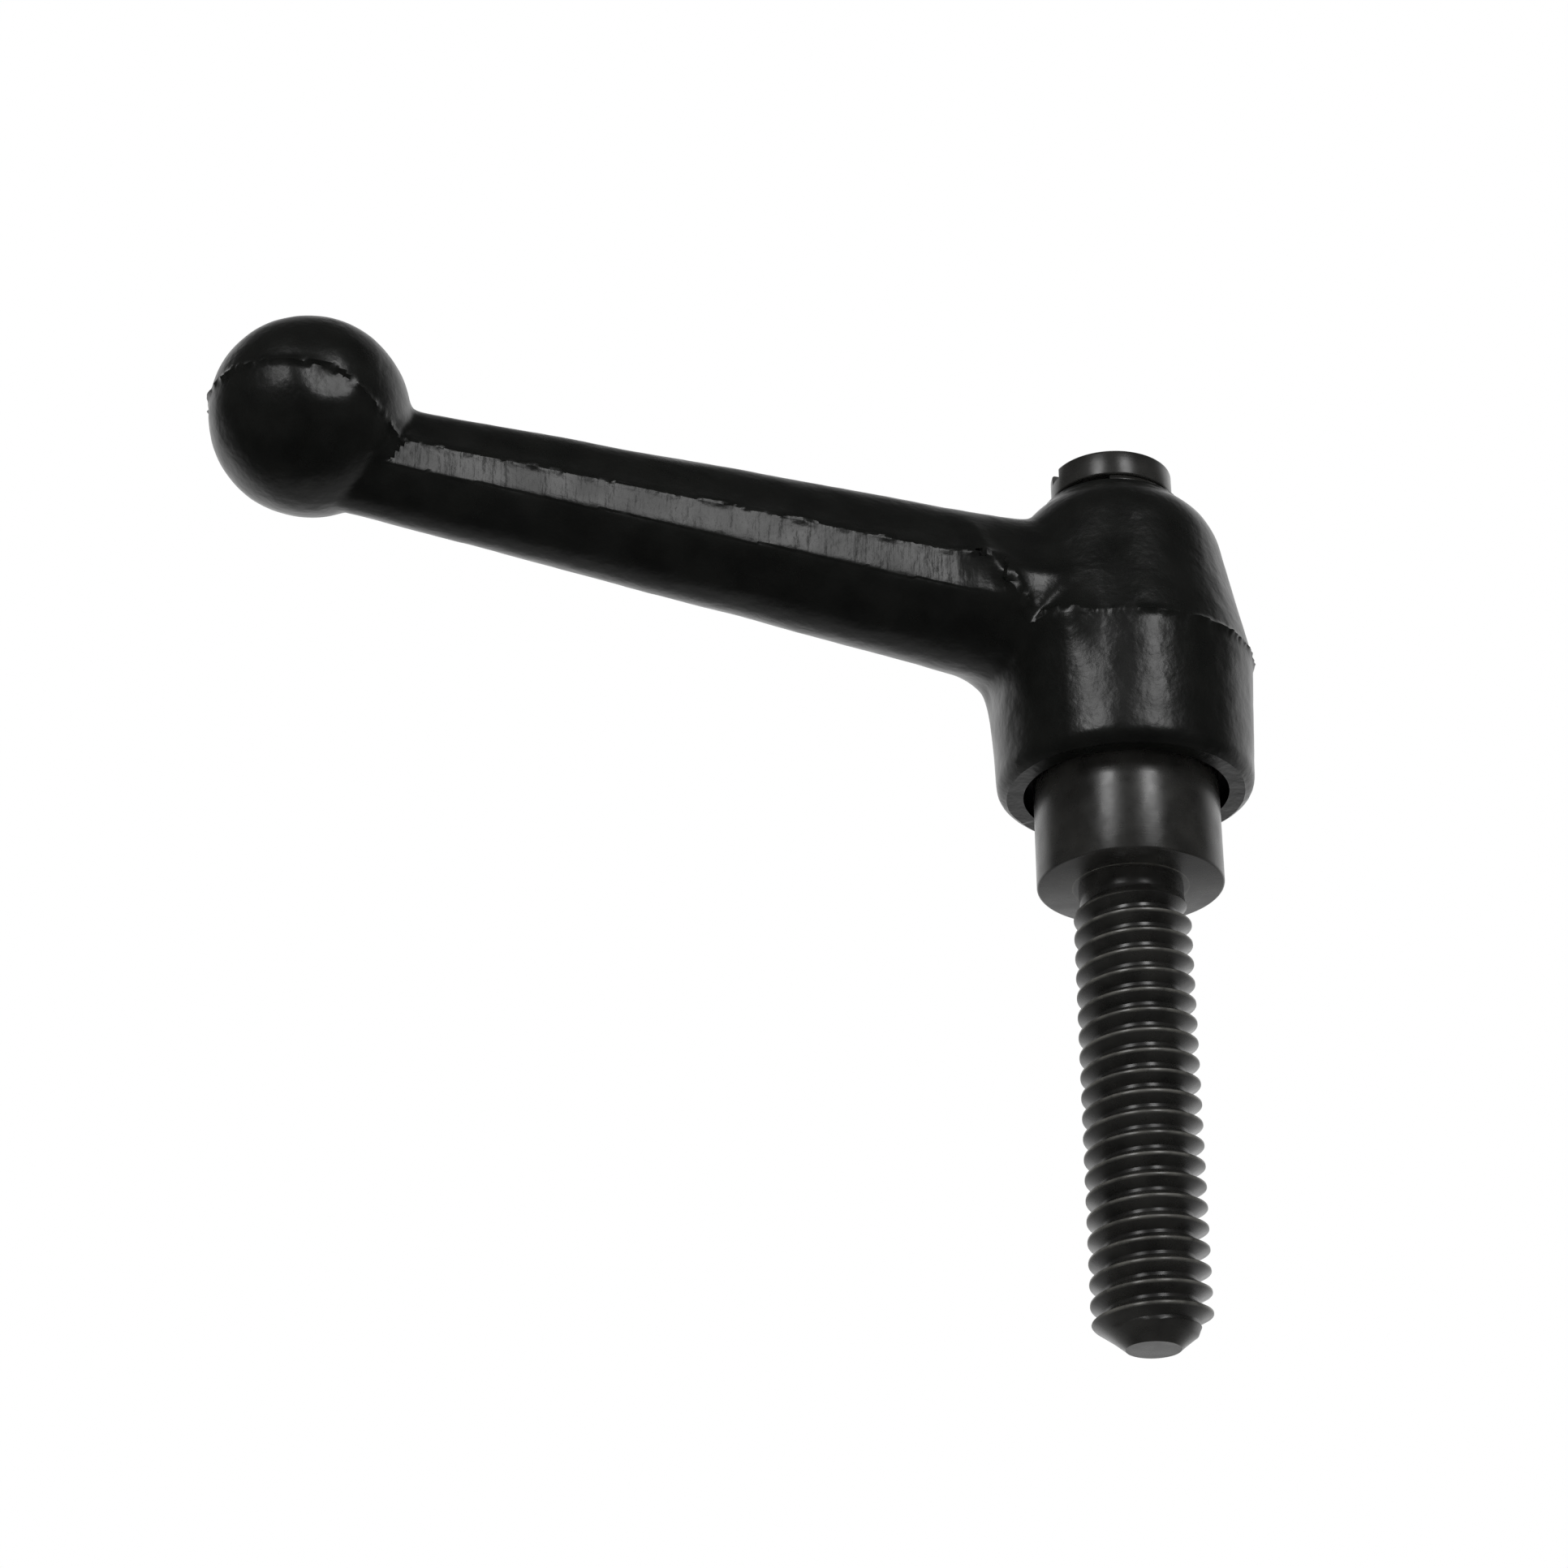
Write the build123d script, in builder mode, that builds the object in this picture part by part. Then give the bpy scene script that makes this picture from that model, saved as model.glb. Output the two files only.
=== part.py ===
"""Adjustable clamping lever with a threaded stud.

A cast lever sits on a serrated stud head. A spring under a retaining screw holds it
down. Lifted against the spring, the lever is free of the serrations and turns to a
new place. Millimetres. The origin is the centre of the collar's seat face, +Z runs up
the stud's axis and the arm points along +X.
"""

import os
from math import asin, atan2, cos, degrees, radians, sin, sqrt, tan

from build123d import *

os.makedirs("parts", exist_ok=True)

# ---------------------------------------------------------------- driving dimensions

# threaded stud, downwards from the seat face
thread_major_d = 7.8
stud_length = 32.0
neck_d = 7.0
neck_length = 2.0
point_d = 3.56
point_length = 1.7

# collar, which carries the seat face
collar_d = 12.5
collar_height = 9.0
collar_edge = 0.15

# serrations between the stud's head and the lever
tooth_count = 24
serration_root_d = 9.2
tooth_depth = 0.6
tooth_half_angle = 40
tooth_clearance = 0.12
serration_length = 3.8
first_tooth_angle = 0

# shouldered screw and the tapped hole that takes it
screw_thread_d = 4.2
screw_thread_length = 9.0
tap_spare_depth = 1.0
drill_point_angle = 118
shank_d = 5.0
screw_head_d = 8.4
screw_head_height = 1.45
screw_edge = 0.2
slot_width = 1.2
slot_depth = 0.8
head_above_hub = 1.25

# hub, outside
hub_bottom_z = 6.8
hub_bottom_d = 17.4
hub_bottom_round = 0.9
ridge_z = 16.2
ridge_d = 18.1
cone_top_z = 24.8
cone_top_d = 14.7
shoulder_radius = 5.6
shoulder_end_angle = 58
hub_top_z = 28.7

# hub, inside
recess_clearance = 0.68
relief_height = 0.6
inner_shoulder_thickness = 2.4
shank_clearance = 0.3
spring_bore_d = 9.2

# return spring, wound left-handed with closed ends
wire_d = 0.9
spring_side_clearance = 0.2
spring_seat_clearance = 0.03
closed_turns = 1.25
working_turns = 5
closed_coil_gap = 0.06
spring_end_angle = 66
points_per_turn = 10

# arm
arm_height = 19.8
arm_rise = 4.5
arm_start = 5.0
arm_root_width = 11.0
arm_root_upper = 6.1
arm_root_lower = 6.05
arm_tip_width = 6.4
arm_tip_upper = 3.8
arm_tip_lower = 3.9
arm_tip_depth_in_ball = 2.0
arm_parting_share = 0.15
flat_start = 10.0
flat_skim = 0.12
flat_tilt = 5
flat_height = 3.0
blend_end = 11.0
blend_steps = 6
blend_side = 0.9
blend_under = 1.6
blend_over = 0.6
neck_fillet = 0.8

# ball
ball_d = 13.3
ball_reach = 56.75
ball_height = 26.4
ball_parting_offset = 0.1

# ------------------------------------------------------------------- worked-out sizes

serration_tip_d = serration_root_d + 2 * tooth_depth
head_top_z = collar_height + serration_length
relief_top_z = head_top_z + relief_height
spring_floor_z = relief_top_z + inner_shoulder_thickness
screw_head_z = hub_top_z + head_above_hub
spring_od = spring_bore_d - 2 * spring_side_clearance


def serration_outline(outer_r, apex_r):
    """A round outline with a ring of V grooves cut in from outer_r down to apex_r."""
    base_r = outer_r + tooth_depth
    half_width = (base_r - apex_r) * tan(radians(tooth_half_angle))
    Circle(outer_r)
    with PolarLocations(0, tooth_count, start_angle=first_tooth_angle):
        Polygon(
            (apex_r, 0),
            (base_r, -half_width),
            (base_r, half_width),
            align=None,
            mode=Mode.SUBTRACT,
        )


# ---------------------------------------------------------------------- threaded stud

with BuildPart() as threaded_stud:
    # turned outline, from the point up to the collar's top face
    with BuildSketch(Plane.XZ):
        with BuildLine():
            Polyline(
                (0, -stud_length),
                (point_d / 2, -stud_length),
                (thread_major_d / 2, point_length - stud_length),
                (thread_major_d / 2, -neck_length - (thread_major_d - neck_d) / 2),
                (neck_d / 2, -neck_length),
                (neck_d / 2, 0),
                (collar_d / 2 - collar_edge, 0),
                (collar_d / 2, collar_edge),
                (collar_d / 2, collar_height - collar_edge),
                (collar_d / 2 - collar_edge, collar_height),
                (0, collar_height),
                close=True,
            )
        make_face()
    revolve(axis=Axis.Z)

    # serrated head
    with BuildSketch(Plane.XY.offset(collar_height)):
        serration_outline(serration_tip_d / 2, serration_root_d / 2)
    extrude(amount=serration_length)

    # tapped hole with the drill's cone at its bottom
    tap_bottom_z = head_top_z - screw_thread_length - tap_spare_depth
    drill_cone = screw_thread_d / 2 / tan(radians(drill_point_angle / 2))
    with BuildSketch(Plane.XZ):
        with BuildLine():
            Polyline(
                (0, head_top_z),
                (screw_thread_d / 2, head_top_z),
                (screw_thread_d / 2, tap_bottom_z),
                (0, tap_bottom_z - drill_cone),
                close=True,
            )
        make_face()
    revolve(axis=Axis.Z, mode=Mode.SUBTRACT)

# -------------------------------------------------------------------- retaining screw

with BuildPart() as retaining_screw:
    with BuildSketch(Plane.XZ):
        head_r = screw_head_d / 2
        head_top = screw_head_z + screw_head_height
        thread_end_z = head_top_z - screw_thread_length
        with BuildLine():
            Polyline(
                (0, thread_end_z),
                (screw_thread_d / 2 - screw_edge, thread_end_z),
                (screw_thread_d / 2, thread_end_z + screw_edge),
                (screw_thread_d / 2, head_top_z),
                (shank_d / 2, head_top_z),
                (shank_d / 2, screw_head_z),
                (head_r, screw_head_z),
                (head_r, head_top - screw_edge),
                (head_r - screw_edge, head_top),
                (0, head_top),
                close=True,
            )
        make_face()
    revolve(axis=Axis.Z)

    # driving slot across the head
    with BuildSketch(Plane.XY.offset(head_top)):
        Rectangle(screw_head_d + 2 * screw_edge, slot_width)
    extrude(amount=-slot_depth, mode=Mode.SUBTRACT)

# ---------------------------------------------------------------------- return spring

coil_r = (spring_od - wire_d) / 2
spring_bottom = spring_floor_z + spring_seat_clearance + wire_d / 2
spring_top = screw_head_z - spring_seat_clearance - wire_d / 2
closed_pitch = wire_d + closed_coil_gap
total_turns = working_turns + 2 * closed_turns
working_rise = spring_top - spring_bottom - 2 * closed_turns * closed_pitch
working_pitch = working_rise / working_turns


def wire_centre(turn):
    """The wire's centre after so many turns down from the top end."""
    wound_closed = min(turn, closed_turns) + max(turn - closed_turns - working_turns, 0)
    wound_open = turn - wound_closed
    angle = radians(spring_end_angle + 360 * turn)
    height = spring_top - wound_closed * closed_pitch - wound_open * working_pitch
    return (coil_r * cos(angle), coil_r * sin(angle), height)


with BuildPart() as return_spring:
    steps = round(total_turns * points_per_turn)
    with BuildLine() as coil_path:
        Spline([wire_centre(total_turns * i / steps) for i in range(steps + 1)])
    with BuildSketch(Plane(coil_path.line @ 0, z_dir=coil_path.line % 0)):
        Circle(wire_d / 2)
    sweep(path=coil_path.line, is_frenet=True)

# ----------------------------------------------------------------------- lever handle

rise = radians(arm_rise)
arm_end = ball_reach / cos(rise) - arm_tip_depth_in_ball

# turned outlines of the lever are drawn on the side away from the arm
turning_plane = Plane((0, 0, 0), x_dir=(-1, 0, 0), z_dir=(0, 1, 0))


def arm_plane(station):
    """The section plane across the arm, so far out along the arm's own axis."""
    origin = (station * cos(rise), 0, arm_height + station * sin(rise))
    return Plane(origin, x_dir=(0, 1, 0), z_dir=(cos(rise), 0, sin(rise)))


def between(station, root_size, tip_size):
    """A size that tapers evenly from the arm's start to its end."""
    return root_size + (tip_size - root_size) * (station - arm_start) / (arm_end - arm_start)


def arm_section(station):
    """One section: an upper and a lower arch, each a little less than half an ellipse.

    The arches meet at the parting line at a slight edge, as two dies leave it. Close to
    the hub the section grows, which blends the arm into it.
    """
    growth = max(1 - (station - arm_start) / (blend_end - arm_start), 0) ** 2
    half_width = between(station, arm_root_width, arm_tip_width) / 2 + growth * blend_side
    upper = between(station, arm_root_upper, arm_tip_upper) + growth * blend_over
    lower = between(station, arm_root_lower, arm_tip_lower) + growth * blend_under
    with BuildSketch(arm_plane(station)) as section:
        with BuildLine():
            for depth, side in ((upper, 1), (lower, -1)):
                offset = depth * arm_parting_share
                parting_angle = asin(offset / (depth + offset))
                EllipticalCenterArc(
                    (0, -side * offset),
                    half_width / cos(parting_angle),
                    depth + offset,
                    start_angle=side * degrees(parting_angle),
                    arc_size=side * (180 - 2 * degrees(parting_angle)),
                )
        make_face()
    return section.sketch


def flat_section(station, side):
    """What the file takes off at one station: all outside a nearly upright line."""
    surface = side * between(station, arm_root_width, arm_tip_width) / 2
    inner = surface - side * flat_skim
    outer = surface + side * flat_height
    with BuildSketch(arm_plane(station)) as section:
        Polygon(
            (inner, 0),
            (inner - side * flat_height * tan(radians(flat_tilt)), -flat_height),
            (outer, -flat_height),
            (outer, 0),
            align=None,
        )
    return section.sketch


# the shoulder's arc starts square to the cone and ends at its own angle
cone_lean = atan2((ridge_d - cone_top_d) / 2, cone_top_z - ridge_z)
shoulder_end = radians(shoulder_end_angle)
shoulder_centre_r = cone_top_d / 2 - shoulder_radius * cos(cone_lean)
shoulder_centre_z = cone_top_z - shoulder_radius * sin(cone_lean)
shoulder_end_r = shoulder_centre_r + shoulder_radius * cos(shoulder_end)
shoulder_end_z = shoulder_centre_z + shoulder_radius * sin(shoulder_end)

# the ball is two caps that meet at the parting line at a slight edge
cap_radius = sqrt((ball_d / 2) ** 2 + ball_parting_offset**2)
cap_shift = Vector(-sin(rise), 0, cos(rise)) * ball_parting_offset
ball_centre = Vector(ball_reach, 0, ball_height)

with BuildPart() as ball:
    with Locations(ball_centre - cap_shift):
        Sphere(cap_radius)
    with Locations(ball_centre + cap_shift):
        Sphere(cap_radius, mode=Mode.INTERSECT)

with BuildPart() as lever_handle:
    # arm, run from inside the hub's wall into the ball
    blend_stations = [
        arm_start + (blend_end - arm_start) * i / blend_steps for i in range(blend_steps + 1)
    ]
    loft(sections=[arm_section(station) for station in blend_stations])
    loft(sections=[arm_section(blend_end), arm_section(arm_end)], ruled=True)

    # flats filed along the parting line's lower side to take off the flash
    for side in (1, -1):
        loft(
            sections=[flat_section(flat_start, side), flat_section(arm_end, side)],
            ruled=True,
            mode=Mode.SUBTRACT,
        )

    # hub, a turned outline that stays solid inside until the bores are cut
    with BuildSketch(turning_plane):
        with BuildLine():
            Line((0, hub_bottom_z), (hub_bottom_d / 2 - hub_bottom_round, hub_bottom_z))
            bottom_round = RadiusArc(
                (hub_bottom_d / 2 - hub_bottom_round, hub_bottom_z),
                (hub_bottom_d / 2, hub_bottom_z + hub_bottom_round),
                -hub_bottom_round,
            )
            Polyline(bottom_round @ 1, (ridge_d / 2, ridge_z), (cone_top_d / 2, cone_top_z))
            RadiusArc(
                (cone_top_d / 2, cone_top_z),
                (shoulder_end_r, shoulder_end_z),
                -shoulder_radius,
            )
            Polyline(
                (shoulder_end_r, shoulder_end_z),
                (spring_bore_d / 2, hub_top_z),
                (0, hub_top_z),
                (0, hub_bottom_z),
            )
        make_face()
    revolve(axis=Axis.Z)

    # ball at the arm's end, with a small cast fillet at its neck
    add(ball.part)
    # (its underside runs almost tangent into the ball and needs none)
    neck_edges = lever_handle.edges(Select.NEW).sort_by(Axis.Z)[-3:]
    fillet(neck_edges, neck_fillet)

    # recess that goes over the collar and rests on its top face
    with BuildSketch(Plane.XY.offset(hub_bottom_z)):
        Circle(collar_d / 2 + recess_clearance)
    extrude(amount=collar_height - hub_bottom_z, mode=Mode.SUBTRACT)

    # serrations that mesh with the stud's head, and the relief above them
    with BuildSketch(Plane.XY.offset(collar_height)):
        serration_outline(
            serration_tip_d / 2 + tooth_clearance,
            serration_root_d / 2 + tooth_clearance / sin(radians(tooth_half_angle)),
        )
    extrude(amount=relief_top_z - collar_height, mode=Mode.SUBTRACT)

    # hole for the screw's shank, and the spring's bore above it
    with BuildSketch(Plane.XY.offset(relief_top_z)):
        Circle(shank_d / 2 + shank_clearance)
    extrude(amount=inner_shoulder_thickness, mode=Mode.SUBTRACT)
    with BuildSketch(Plane.XY.offset(spring_floor_z)):
        Circle(spring_bore_d / 2)
    extrude(amount=hub_top_z - spring_floor_z, mode=Mode.SUBTRACT)

# ----------------------------------------------------------------------------- export

threaded_stud.part.label = "threaded_stud"
export_step(threaded_stud.part, "parts/threaded_stud.step")

retaining_screw.part.label = "retaining_screw"
export_step(retaining_screw.part, "parts/retaining_screw.step")

return_spring.part.label = "return_spring"
export_step(return_spring.part, "parts/return_spring.step")

lever_handle.part.label = "lever_handle"
export_step(lever_handle.part, "parts/lever_handle.step")
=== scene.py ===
# %% [markdown]
# # An adjustable clamping lever
#
# The real object is a cast lever with a ball on its end. It turns on a threaded steel stud.
# A spring under the head of a small screw holds the lever down on a ring of teeth. Lift it,
# turn it to a free angle, let it drop, and it bites again.
#
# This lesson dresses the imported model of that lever. Each part is made in its real size in
# millimetres and brought to metres at the end, in the same place as the part it stands for.

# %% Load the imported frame
from math import atan2, cos, exp, hypot, pi, radians, sin, tan

import bmesh
import bpy
from mathutils import Matrix, Vector, noise


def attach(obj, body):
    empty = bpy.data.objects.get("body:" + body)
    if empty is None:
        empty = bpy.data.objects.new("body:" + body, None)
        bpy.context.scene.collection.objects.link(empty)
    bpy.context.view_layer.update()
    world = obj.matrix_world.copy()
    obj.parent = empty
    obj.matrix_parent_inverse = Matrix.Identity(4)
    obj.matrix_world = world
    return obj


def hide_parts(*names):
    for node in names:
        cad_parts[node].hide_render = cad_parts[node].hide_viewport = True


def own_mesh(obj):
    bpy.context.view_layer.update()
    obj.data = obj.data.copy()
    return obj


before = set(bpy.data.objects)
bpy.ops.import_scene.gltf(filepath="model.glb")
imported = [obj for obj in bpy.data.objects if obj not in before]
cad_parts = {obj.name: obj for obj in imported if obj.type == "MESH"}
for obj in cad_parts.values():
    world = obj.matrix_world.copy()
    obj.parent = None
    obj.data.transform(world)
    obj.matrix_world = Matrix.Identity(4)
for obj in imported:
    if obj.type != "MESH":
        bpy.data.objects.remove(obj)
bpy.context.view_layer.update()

# %% [markdown]
# ## The camera
#
# The lever is seen from below its ball, so the camera stands low and looks up. A long lens
# keeps the stud's sides nearly parallel. A camera looks along its own -Z, so its matrix has
# the right hand, the top and the back of the view as its three columns.

# %% Place the camera
MM = 0.001


def aimed(forward, up=(0, 0, 1), roll=0.0):
    """A turn that looks along a direction, then rolls clockwise about it."""
    back = -Vector(forward).normalized()
    right = Vector(up).cross(back).normalized()
    turn = Matrix((right, back.cross(right), back)).transposed()
    return turn.to_4x4() @ Matrix.Rotation(-roll, 4, "Z")


camera_place = Vector((93.0, 214.2, -105.9)) * MM
camera_heading = radians(-107.8)
camera_pitch = radians(26.08)
camera_roll = radians(0.362)
camera_data = bpy.data.cameras.new("camera")
camera_data.lens = 87.95
camera_data.sensor_width = 36.0
camera_data.clip_start = 0.01
camera = bpy.data.objects.new("camera", camera_data)
level = cos(camera_pitch)
looks = (cos(camera_heading) * level, sin(camera_heading) * level, sin(camera_pitch))
camera.matrix_world = Matrix.Translation(camera_place) @ aimed(looks, roll=camera_roll)
bpy.context.scene.collection.objects.link(camera)
bpy.context.scene.camera = camera
bpy.context.scene.view_settings.view_transform = "Standard"
print("the camera stands", round(camera_place.length, 3), "m from the seat")

# %% [markdown]
# ## Light and room
#
# Black metal shows little but what it mirrors. Two upright soft boxes in front give each
# round part its pair of bright streaks. Behind the lever the room is white, which draws a
# bright rim along every edge. The rest of the room is dim, so the black stays black.
#
# The room is the world's own colour. The backdrop's white is what the camera sees on every
# side, and it is what the metal mirrors on the far side of the lever.

# %% Helpers for node trees
def node_link(tree, kind, inputs=(), **settings):
    """Adds a node, sets its options, and fills its inputs with values or links."""
    node = tree.nodes.new(kind)
    for name, value in settings.items():
        setattr(node, name, value)
    for socket, value in dict(inputs).items():
        if isinstance(value, bpy.types.NodeSocket):
            tree.links.new(value, node.inputs[socket])
        else:
            node.inputs[socket].default_value = value
    return node


def spread(tree, value, low, high, start=0.0, end=1.0, shape="LINEAR"):
    """Stretches a value's range from low and high to start and end."""
    return node_link(
        tree,
        "ShaderNodeMapRange",
        {"Value": value, "From Min": low, "From Max": high, "To Min": start, "To Max": end},
        interpolation_type=shape,
    ).outputs["Result"]


def counted(tree, operation, first, second=0.0):
    """One step of arithmetic."""
    return node_link(tree, "ShaderNodeMath", {0: first, 1: second}, operation=operation).outputs[0]


# %% Light the room
front = radians(66.5)
ROOM_LEVEL = 0.85
DARK_SIDE = 0.03
CEILING_LEFT = 0.12
FLOOR_LEFT = 0.3
world = bpy.data.worlds.new("white room")
bpy.context.scene.world = world
world.use_nodes = True
room = world.node_tree
room.nodes.clear()
heading = node_link(room, "ShaderNodeTexCoord").outputs["Generated"]
away = (-cos(front), -sin(front), 0.0)
toward_back = node_link(
    room, "ShaderNodeVectorMath", {0: heading, 1: away}, operation="DOT_PRODUCT"
).outputs["Value"]
height = node_link(room, "ShaderNodeSeparateXYZ", {0: heading}).outputs["Z"]

# the white wall stands behind the lever, and fades towards the ceiling and the floor
backdrop = spread(room, toward_back, 0.20, 0.62, shape="SMOOTHSTEP")
below_ceiling = spread(room, height, 0.60, 0.95, 1.0, CEILING_LEFT, shape="SMOOTHSTEP")
above_floor = spread(room, height, -0.55, -0.1, FLOOR_LEFT, 1.0, shape="SMOOTHSTEP")
wall = counted(room, "MULTIPLY", backdrop, below_ceiling)
wall = counted(room, "MULTIPLY", wall, above_floor)
mirrored = spread(room, wall, 0.0, 1.0, DARK_SIDE, 1.0)

# %% Show white to the camera, the room to metal, and an even level to the rest
ray = node_link(room, "ShaderNodeLightPath")
seen_in_metal = counted(
    room, "MAXIMUM", ray.outputs["Is Glossy Ray"], ray.outputs["Is Transmission Ray"]
)
level_or_mirror = node_link(
    room, "ShaderNodeMix", {"Factor": seen_in_metal, "A": ROOM_LEVEL, "B": mirrored}
).outputs["Result"]
strength = node_link(
    room,
    "ShaderNodeMix",
    {"Factor": ray.outputs["Is Camera Ray"], "A": level_or_mirror, "B": 1.0},
).outputs["Result"]
white = (1.0, 1.0, 1.0, 1.0)
room_light = node_link(room, "ShaderNodeBackground", {"Color": white, "Strength": strength})
node_link(room, "ShaderNodeOutputWorld", {"Surface": room_light.outputs[0]})
print("the room has", len(room.nodes), "nodes")

# %% Hang the soft boxes
BOX_DISTANCE = 0.60
box_target = Vector((0.015, 0.0, 0.012))


def soft_box(name, turn, rise, width, tall, radiance):
    """An upright soft box that faces the lever, at an angle round it and a height above it."""
    light = bpy.data.lights.new(name, "AREA")
    light.shape = "RECTANGLE"
    light.size = width
    light.size_y = tall
    light.energy = radiance * pi * width * tall
    turned, lifted = front + radians(turn), radians(rise)
    out = Vector((cos(turned) * cos(lifted), sin(turned) * cos(lifted), sin(lifted)))
    lamp = bpy.data.objects.new(name, light)
    lamp.matrix_world = Matrix.Translation(box_target + out * BOX_DISTANCE) @ aimed(-out)
    lamp.visible_camera = False
    bpy.context.scene.collection.objects.link(lamp)


for name, turn in (("left soft box", -21), ("right soft box", 31)):
    soft_box(name, turn=turn, rise=26, width=0.15, tall=0.24, radiance=5.6)
print("two soft boxes at", BOX_DISTANCE, "m")

# %% [markdown]
# ## The floor
#
# The floor is a plain pale sheet far below the lever. It takes the lever's soft shadow. The
# metal mirrors the room's own colour in its place.

# %% Lay the floor
FLOOR_Z = -0.17
FLOOR_SIZE = 40.0
floor_mesh = bmesh.new()
bmesh.ops.create_grid(
    floor_mesh,
    x_segments=1,
    y_segments=1,
    size=FLOOR_SIZE,
    matrix=Matrix.Translation((0, 0, FLOOR_Z)),
)
floor_data = bpy.data.meshes.new("floor")
floor_mesh.to_mesh(floor_data)
floor_mesh.free()
floor_sheet = bpy.data.objects.new("floor", floor_data)
bpy.context.scene.collection.objects.link(floor_sheet)
paint = bpy.data.materials.new("pale floor")
paint.use_nodes = True
paint.node_tree.nodes.clear()
floor_diffuse = node_link(
    paint.node_tree, "ShaderNodeBsdfDiffuse", {"Color": (0.86, 0.86, 0.85, 1.0)}
)
node_link(paint.node_tree, "ShaderNodeOutputMaterial", {"Surface": floor_diffuse.outputs[0]})
floor_data.materials.append(paint)
floor_sheet.visible_glossy = False
print("floor at", FLOOR_Z, "m")

# %% [markdown]
# ## Helpers for turned parts
#
# The stud, the screw and the lever's hub are all turned or cored about one axis. Each starts
# as a few points of its half outline, which spin sweeps round the axis. Its last step meets
# the first, so use_merge closes the seam.

# %% Turn a profile about the axis
def drawn_line(mesh, points, closed):
    """A line of edges through points given as (radius, height)."""
    line = [mesh.verts.new((radius, 0.0, z)) for radius, z in points]
    ends = line[1:] + line[:1] if closed else line[1:]
    edges = [mesh.edges.new(pair) for pair in zip(line, ends)]
    return line + edges


def turned(mesh, points, steps, closed=True):
    """Spins a half outline once round the Z axis."""
    outline = drawn_line(mesh, points, closed)
    bmesh.ops.spin(
        mesh,
        geom=outline,
        cent=(0, 0, 0),
        axis=(0, 0, 1),
        dvec=(0, 0, 0),
        angle=2 * pi,
        steps=steps,
        use_merge=True,
        use_duplicate=False,
    )


def rounded_corners(mesh, edges, width, segments=2):
    """Bevels edges by the same small width."""
    bmesh.ops.bevel(
        mesh,
        geom=edges,
        offset=width,
        offset_type="OFFSET",
        segments=segments,
        profile=0.5,
        affect="EDGES",
        material=-1,
        clamp_overlap=True,
    )


def ring_at(mesh, radius, z, tolerance=0.01):
    """The edges that run round the axis at one radius and height."""

    def on_ring(vert):
        near = abs(hypot(vert.co.x, vert.co.y) - radius) < tolerance
        return near and abs(vert.co.z - z) < tolerance

    return [edge for edge in mesh.edges if all(on_ring(vert) for vert in edge.verts)]


# %% Finish a piece
def finished(name, mesh, body, node, material, sharp=32.0):
    """Brings a mesh to metres, smooths it but for its sharp edges, and hands it to the frame."""
    bmesh.ops.scale(mesh, vec=(MM, MM, MM), verts=mesh.verts)
    for face in mesh.faces:
        face.smooth = True
    for edge in mesh.edges:
        edge.smooth = edge.is_manifold and edge.calc_face_angle(0.0) < radians(sharp)
    data = bpy.data.meshes.new(name)
    mesh.to_mesh(data)
    mesh.free()
    data.materials.append(material)
    piece = bpy.data.objects.new(name, data)
    bpy.context.scene.collection.objects.link(piece)
    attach(piece, body)
    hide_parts(node)
    triangles = sum(len(face.vertices) - 2 for face in data.polygons)
    print(name, "has", triangles, "triangles, and", round(max(piece.dimensions) / MM, 2), "mm")
    return piece


# %% [markdown]
# ## Finishes
#
# The steel is turned bright and then blackened, so it keeps the fine rings of the tool under
# a dark skin that still shines. The casting is black too, with a softer and bumpier skin.
# Both are made with one recipe: a nearly black colour, a gloss that changes from place to
# place, and a bump for the small relief.

# %% Build the finishes
def scattered(tree, scale, detail=3.0, roughness=0.5, stretch=(1.0, 1.0, 1.0), shift=0.0):
    """A noise over the object's own coordinates, stretched where its marks are long."""
    place = node_link(tree, "ShaderNodeTexCoord").outputs["Object"]
    laid = node_link(
        tree,
        "ShaderNodeMapping",
        {"Vector": place, "Location": (shift, shift, shift), "Scale": stretch},
    )
    return node_link(
        tree,
        "ShaderNodeTexNoise",
        {
            "Vector": laid.outputs[0],
            "Scale": scale,
            "Detail": detail,
            "Roughness": roughness,
        },
    ).outputs["Fac"]


def blended(tree, factor, first, second):
    """Mixes two colours."""
    mix = tree.nodes.new("ShaderNodeMix")
    mix.data_type = "RGBA"
    for socket, value in ((0, factor), (6, first), (7, second)):
        if isinstance(value, bpy.types.NodeSocket):
            tree.links.new(value, mix.inputs[socket])
        else:
            mix.inputs[socket].default_value = value
    return mix.outputs[2]


def relief(tree, value, depth, under=None):
    """A bump of so many millimetres at its full height, on top of another."""
    inputs = {"Height": value, "Distance": depth * MM, "Strength": 1.0}
    if under is not None:
        inputs["Normal"] = under
    return node_link(tree, "ShaderNodeBump", inputs).outputs[0]


def finish_of(name, **constants):
    """A new material with one Principled shader, its constant values set on its sockets."""
    material = bpy.data.materials.new(name)
    material.use_nodes = True
    tree = material.node_tree
    tree.nodes.clear()
    shader = tree.nodes.new("ShaderNodeBsdfPrincipled")
    for socket, value in constants.items():
        shader.inputs[socket.replace("_", " ")].default_value = value
    node_link(tree, "ShaderNodeOutputMaterial", {"Surface": shader.outputs[0]})
    return material, tree, shader


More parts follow.
